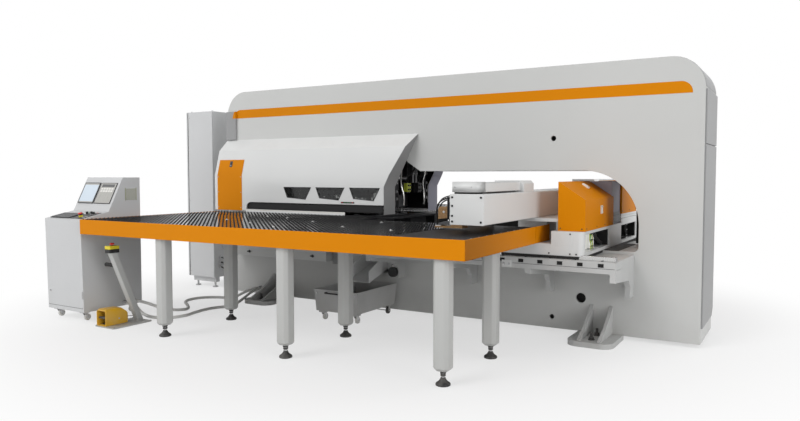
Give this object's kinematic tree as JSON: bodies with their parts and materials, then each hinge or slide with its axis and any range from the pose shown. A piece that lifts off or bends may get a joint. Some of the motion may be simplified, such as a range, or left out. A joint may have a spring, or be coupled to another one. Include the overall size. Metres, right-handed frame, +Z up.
{
  "type": "cnc turret punch press",
  "caption": "Turret punch press with a closed O-shaped frame, travelling bridge with sheet clamps, brush tables, operator console, switch cabinet and scrap cart.",
  "frame": {"origin": "on the floor under the middle of the machine's bounding box, in the frame's mid-plane", "axes": "+X along the frame to the end where the bridge parks, +Y to the rear table, +Z up"},
  "size_m": [5.62, 4.34, 2.19],
  "materials": {
    "frame_grey": "semi-gloss paint",
    "hood_white": "semi-gloss paint",
    "smoked_window": "smoked clear sheet",
    "orange": "semi-gloss paint",
    "machined_steel": "turned and ground",
    "tool_steel": "oiled",
    "clamp_bronze": "bronze paint",
    "dark_steel": "satin",
    "leg_grey": "satin paint",
    "black_feet": "matte",
    "brush_black": "bristle",
    "ball_steel": "polished",
    "cabinet_grey": "fine-texture paint",
    "black_plastic": "satin",
    "zinc": "zinc plated",
    "castor_tyre": "matte",
    "red_button": "gloss",
    "pedal_yellow": "satin",
    "pedal_black": "ribbed",
    "conduit_grey": "corrugated"
  },
  "bodies": {
    "machine": {"o_frame": "frame_grey", "frame_covers": "frame_grey", "frame_feet": "frame_grey", "hood_front": "hood_white", "hood_rear": "hood_white", "hood_windows": "smoked_window", "corner_guards": "orange", "lower_skirts": "hood_white", "ram_cylinder": "machined_steel", "die_anvil": "machined_steel", "slug_chute": "hood_white", "rail_ledges": "frame_grey", "bridge_rails": "machined_steel", "table_tops": "dark_steel", "table_fascias": "orange", "table_frames": "leg_grey", "table_legs": "leg_grey", "levelling_feet": "black_feet", "brush_boards": "brush_black", "ball_transfers": "ball_steel", "centre_table": "hood_white", "electrical_cabinet": "cabinet_grey", "console_cabinet": "cabinet_grey", "console_panel": "black_plastic", "pedal_stand": "cabinet_grey", "estop_box": "black_plastic", "pedal_hood": "pedal_yellow", "conduit_a": "conduit_grey", "conduit_b": "conduit_grey", "conduit_glands": "zinc"},
    "bridge": {"bridge_saddle": "hood_white", "carriage_beam": "hood_white", "beam_trays": "hood_white", "drive_covers": "orange"},
    "carriage": {"clamp_carriage": "dark_steel", "clamp_bodies": "clamp_bronze"},
    "jaw_front": {"clamp_jaw_front": "tool_steel"},
    "jaw_rear": {"clamp_jaw_rear": "tool_steel"},
    "upper_turret": {"upper_turret": "machined_steel", "punch_holders": "tool_steel"},
    "lower_turret": {"lower_turret": "machined_steel", "die_holders": "tool_steel"},
    "striker": {"striker": "tool_steel"},
    "cabinet_door": {"cabinet_door": "cabinet_grey"},
    "door_handle": {"door_handle": "black_plastic"},
    "console_estop": {"console_estop": "red_button"},
    "stand_estop": {"stand_estop": "red_button"},
    "foot_pedal": {"foot_pedal": "pedal_black"},
    "cart": {"cart_bin": "cabinet_grey"},
    "cart_left_fork": {"cart_left_fork": "zinc"},
    "cart_left_wheel": {"cart_left_wheel": "castor_tyre"},
    "cart_right_fork": {"cart_right_fork": "zinc"},
    "cart_right_wheel": {"cart_right_wheel": "castor_tyre"},
    "cart_rear_wheels": {"cart_rear_wheels": "castor_tyre"},
    "console_left_fork": {"console_left_fork": "zinc"},
    "console_left_wheel": {"console_left_wheel": "castor_tyre"},
    "console_right_fork": {"console_right_fork": "zinc"},
    "console_right_wheel": {"console_right_wheel": "castor_tyre"},
    "console_rear_wheel_left": {"console_rear_wheel_left": "castor_tyre"},
    "console_rear_wheel_right": {"console_rear_wheel_right": "castor_tyre"}
  },
  "joints": [
    {"name": "bridge_travel", "type": "slide", "parent": "machine", "child": "bridge", "axis": [-1, 0, 0], "range_m": [0, 1.15]},
    {"name": "carriage_travel", "type": "slide", "parent": "bridge", "child": "carriage", "axis": [0, 1, 0], "range_m": [0, 2.35]},
    {"name": "front_jaw", "type": "hinge", "parent": "carriage", "child": "jaw_front", "pos_m": [1.312, -1.425, 0.968], "axis": [0, 1, 0], "range_deg": [-2, 10]},
    {"name": "rear_jaw", "type": "hinge", "parent": "carriage", "child": "jaw_rear", "pos_m": [1.312, -0.945, 0.968], "axis": [0, 1, 0], "range_deg": [-2, 10]},
    {"name": "upper_turret_spin", "type": "hinge", "parent": "machine", "child": "upper_turret", "pos_m": [-0.49, 0, 1.04], "axis": [0, 0, 1], "continuous": true},
    {"name": "lower_turret_spin", "type": "hinge", "parent": "machine", "child": "lower_turret", "pos_m": [-0.49, 0, 0.86], "axis": [0, 0, 1], "continuous": true},
    {"name": "striker_stroke", "type": "slide", "parent": "machine", "child": "striker", "axis": [0, 0, -1], "range_m": [0, 0.036]},
    {"name": "cabinet_door_hinge", "type": "hinge", "parent": "machine", "child": "cabinet_door", "pos_m": [-2.79, 0.595, 1.07], "axis": [0, 0, -1], "range_deg": [0, 110]},
    {"name": "door_handle_turn", "type": "hinge", "parent": "cabinet_door", "child": "door_handle", "pos_m": [-2.79, -0.145, 1.06], "axis": [1, 0, 0], "range_deg": [0, 90]},
    {"name": "console_stop_press", "type": "slide", "parent": "machine", "child": "console_estop", "axis": [0, 0.1994, -0.9799], "range_m": [0, 0.006], "stiffness_N_per_m": 800},
    {"name": "stand_stop_press", "type": "slide", "parent": "machine", "child": "stand_estop", "axis": [0, 0, -1], "range_m": [0, 0.006], "stiffness_N_per_m": 800},
    {"name": "foot_pedal_press", "type": "hinge", "parent": "machine", "child": "foot_pedal", "pos_m": [-1.705, -2.015, 0.058], "axis": [1, 0, 0], "range_deg": [0, 12], "stiffness_Nm_per_rad": 12, "springref_deg": -5.73},
    {"name": "cart_roll", "type": "slide", "parent": "machine", "child": "cart", "axis": [0, -1, 0], "range_m": [0, 1.1]},
    {"name": "cart_left_swivel", "type": "hinge", "parent": "cart", "child": "cart_left_fork", "pos_m": [-0.2485, -0.935, 0.072], "axis": [0, 0, 1], "continuous": true},
    {"name": "cart_left_roll", "type": "hinge", "parent": "cart_left_fork", "child": "cart_left_wheel", "pos_m": [-0.2485, -0.911, 0.03], "axis": [1, 0, 0], "continuous": true},
    {"name": "cart_right_swivel", "type": "hinge", "parent": "cart", "child": "cart_right_fork", "pos_m": [0.1015, -0.935, 0.072], "axis": [0, 0, 1], "continuous": true},
    {"name": "cart_right_roll", "type": "hinge", "parent": "cart_right_fork", "child": "cart_right_wheel", "pos_m": [0.1015, -0.911, 0.03], "axis": [1, 0, 0], "continuous": true},
    {"name": "cart_rear_roll", "type": "hinge", "parent": "cart", "child": "cart_rear_wheels", "pos_m": [-0.075, -0.405, 0.03], "axis": [1, 0, 0], "continuous": true},
    {"name": "console_left_swivel", "type": "hinge", "parent": "machine", "child": "console_left_fork", "pos_m": [-2.4385, -2.06, 0.072], "axis": [0, 0, 1], "continuous": true},
    {"name": "console_left_roll", "type": "hinge", "parent": "console_left_fork", "child": "console_left_wheel", "pos_m": [-2.4385, -2.036, 0.03], "axis": [1, 0, 0], "continuous": true},
    {"name": "console_rear_left_roll", "type": "hinge", "parent": "machine", "child": "console_rear_wheel_left", "pos_m": [-2.4385, -1.57, 0.03], "axis": [1, 0, 0], "continuous": true},
    {"name": "console_right_swivel", "type": "hinge", "parent": "machine", "child": "console_right_fork", "pos_m": [-2.0585, -2.06, 0.072], "axis": [0, 0, 1], "continuous": true},
    {"name": "console_right_roll", "type": "hinge", "parent": "console_right_fork", "child": "console_right_wheel", "pos_m": [-2.0585, -2.036, 0.03], "axis": [1, 0, 0], "continuous": true},
    {"name": "console_rear_right_roll", "type": "hinge", "parent": "machine", "child": "console_rear_wheel_right", "pos_m": [-2.0585, -1.57, 0.03], "axis": [1, 0, 0], "continuous": true}
  ],
  "couplings": [
    {"joint": "rear_jaw", "follows": "front_jaw", "ratio": 1},
    {"joint": "lower_turret_spin", "follows": "upper_turret_spin", "ratio": 1}
  ]
}
